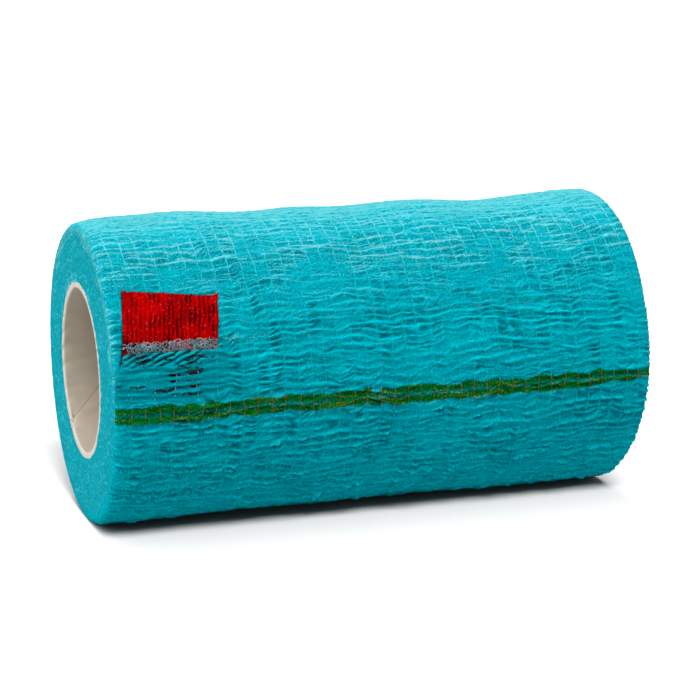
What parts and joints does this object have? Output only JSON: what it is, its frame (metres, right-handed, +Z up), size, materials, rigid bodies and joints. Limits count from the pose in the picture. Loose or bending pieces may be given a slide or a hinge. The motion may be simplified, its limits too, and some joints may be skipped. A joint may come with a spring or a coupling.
{
  "type": "cohesive bandage roll",
  "caption": "Short-stretch crinkled elastic bandage wound on a paperboard tube, its loose end up the front over a ribbed pull tab, resting on a small flat spot.",
  "frame": {"origin": "on the plane that the roll rests on, straight below the tube's axis, at the middle of the cloth's width", "axes": "+X along the tube's axis, away from the end that the pull tab lies near; -Y towards the front, where the loose end shows; +Z up"},
  "size_m": [0.1, 0.0568, 0.0551],
  "materials": {
    "cohesive_cloth": "turquoise crinkled nonwoven with elastic threads, matt",
    "tab_tape": "red warp-ribbed tape, matt",
    "core_board": "cream spiral-wound paperboard, matt"
  },
  "bodies": {
    "root": {"bandage_roll": "cohesive_cloth", "pull_tab": "tab_tape", "core_tube": "core_board"}
  },
  "joints": []
}
